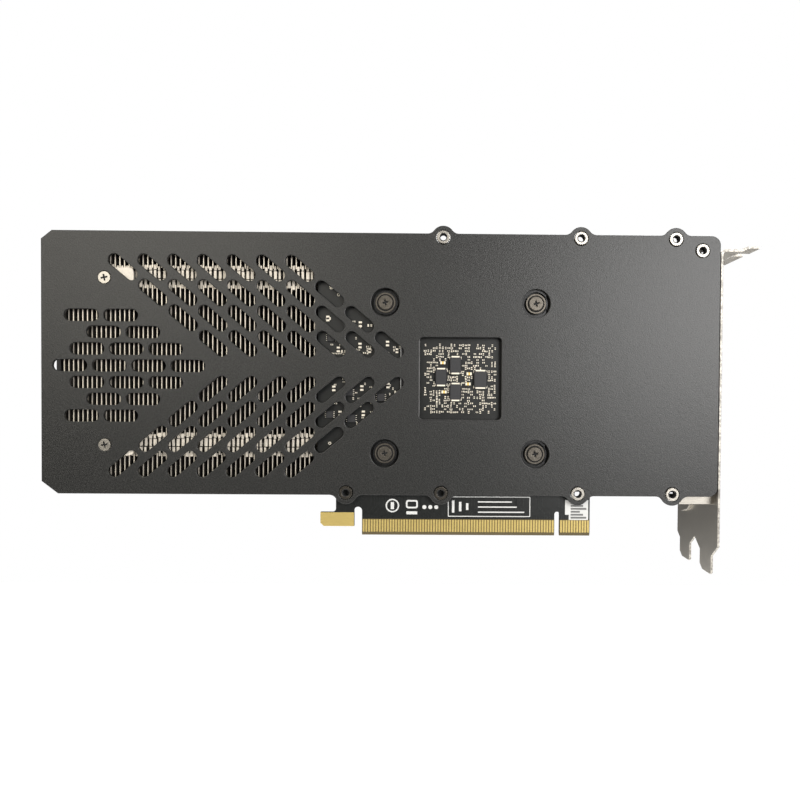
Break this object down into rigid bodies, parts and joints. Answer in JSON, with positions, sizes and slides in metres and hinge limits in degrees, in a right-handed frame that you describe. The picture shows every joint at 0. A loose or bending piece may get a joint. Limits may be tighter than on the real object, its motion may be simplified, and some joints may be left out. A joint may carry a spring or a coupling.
{
  "type": "graphics card",
  "caption": "Dual-slot graphics card with a slotted metal back plate, gold edge connector, slot bracket, finned heatsink, shroud and two spinning fans.",
  "frame": {"origin": "middle of the flat bottom face of the edge connector's long contact section, in the board's middle plane", "axes": "+X along the card to the slot bracket, +Y from the back plate to the fans, +Z from the edge connector to the card's top edge"},
  "size_m": [0.2614, 0.0391, 0.1284],
  "materials": {
    "plate_coat": "fine-grained satin powder coat",
    "film": "smooth black film",
    "board_mask": "black solder mask, satin",
    "contact_gold": "gold plate",
    "bracket_metal": "nickel-plated sheet",
    "port_steel": "nickel-plated shell",
    "socket_plastic": "moulded black",
    "chip_black": "moulded compound",
    "ferrite": "pressed ferrite",
    "can_aluminium": "drawn can",
    "copper": "drawn copper, lightly oxidised",
    "fin_metal": "plain stamped fins",
    "fastener_steel": "nickel plate",
    "shroud_plastic": "fine-textured moulding",
    "fan_plastic": "satin moulding"
  },
  "bodies": {
    "root": {"back_plate": "plate_coat", "insulating_film": "film", "circuit_board": "board_mask", "slot_bracket": "bracket_metal", "power_socket": "socket_plastic", "power_pins": "contact_gold", "gpu_package": "chip_black", "capacitor": "can_aluminium", "cold_plate": "copper", "fin_stack_left": "fin_metal", "fin_stack_right": "fin_metal", "heatsink_tab_lower": "fin_metal", "heatsink_tab_upper": "fin_metal", "plate_screw_lower": "fastener_steel", "plate_screw_upper": "fastener_steel", "shroud": "shroud_plastic", "fan_frame_left": "shroud_plastic", "fan_frame_right": "shroud_plastic", "video_port_1": "port_steel", "video_port_2": "port_steel", "video_port_3": "port_steel", "video_port_4": "port_steel", "video_port_insert_1": "socket_plastic", "video_port_insert_2": "socket_plastic", "video_port_insert_3": "socket_plastic", "video_port_insert_4": "socket_plastic", "memory_chip_1": "chip_black", "memory_chip_2": "chip_black", "memory_chip_3": "chip_black", "memory_chip_4": "chip_black", "memory_chip_5": "chip_black", "memory_chip_6": "chip_black", "power_choke_1": "ferrite", "power_choke_2": "ferrite", "power_choke_3": "ferrite", "heat_pipe_1": "copper", "heat_pipe_2": "copper", "heat_pipe_3": "copper", "heat_pipe_4": "copper", "gpu_screw_1": "fastener_steel", "gpu_screw_2": "fastener_steel", "gpu_screw_3": "fastener_steel", "gpu_screw_4": "fastener_steel", "gpu_spring_1": "fastener_steel", "gpu_spring_2": "fastener_steel", "gpu_spring_3": "fastener_steel", "gpu_spring_4": "fastener_steel", "clinch_nut_1": "fastener_steel", "clinch_nut_2": "fastener_steel", "clinch_nut_3": "fastener_steel", "clinch_nut_4": "fastener_steel", "clinch_nut_5": "fastener_steel", "clinch_nut_6": "fastener_steel", "clinch_nut_7": "fastener_steel", "clinch_nut_8": "fastener_steel"},
    "fan_left": {"fan_rotor_left": "fan_plastic", "fan_shaft_left": "fastener_steel"},
    "fan_right": {"fan_rotor_right": "fan_plastic", "fan_shaft_right": "fastener_steel"}
  },
  "joints": [
    {"name": "fan_left_spin", "type": "hinge", "parent": "root", "child": "fan_left", "pos_m": [-0.0997, 0.029, 0.0628], "axis": [0, 1, 0], "continuous": true},
    {"name": "fan_right_spin", "type": "hinge", "parent": "root", "child": "fan_right", "pos_m": [0.0003, 0.029, 0.0628], "axis": [0, 1, 0], "continuous": true}
  ]
}
